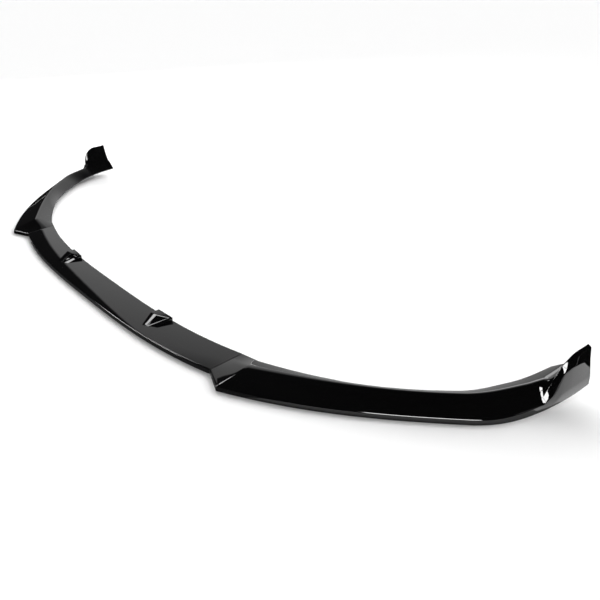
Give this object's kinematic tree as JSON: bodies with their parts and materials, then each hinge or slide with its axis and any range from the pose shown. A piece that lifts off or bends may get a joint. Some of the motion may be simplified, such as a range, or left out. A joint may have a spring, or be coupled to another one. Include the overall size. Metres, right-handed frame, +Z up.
{
  "type": "front splitter lip",
  "caption": "Gloss black front splitter lip for a car: a thin bowed centre blade with wedge blocks, bolted to swept side arms that end in upturned winglets.",
  "frame": {"origin": "middle of the footprint on the ground plane under the lip's lower edges", "axes": "+X to the right of the picture's viewer along the width, -Y towards the front edge, +Z up"},
  "size_m": [1.818, 0.48, 0.095],
  "materials": {
    "gloss_black": "high gloss black moulded plastic, textured and matt on the hidden underside",
    "screw_steel": "dark zinc plated"
  },
  "bodies": {
    "root": {"centre_section": "gloss_black", "left_side_section": "gloss_black", "right_side_section": "gloss_black", "joint_screws": "screw_steel"}
  },
  "joints": []
}
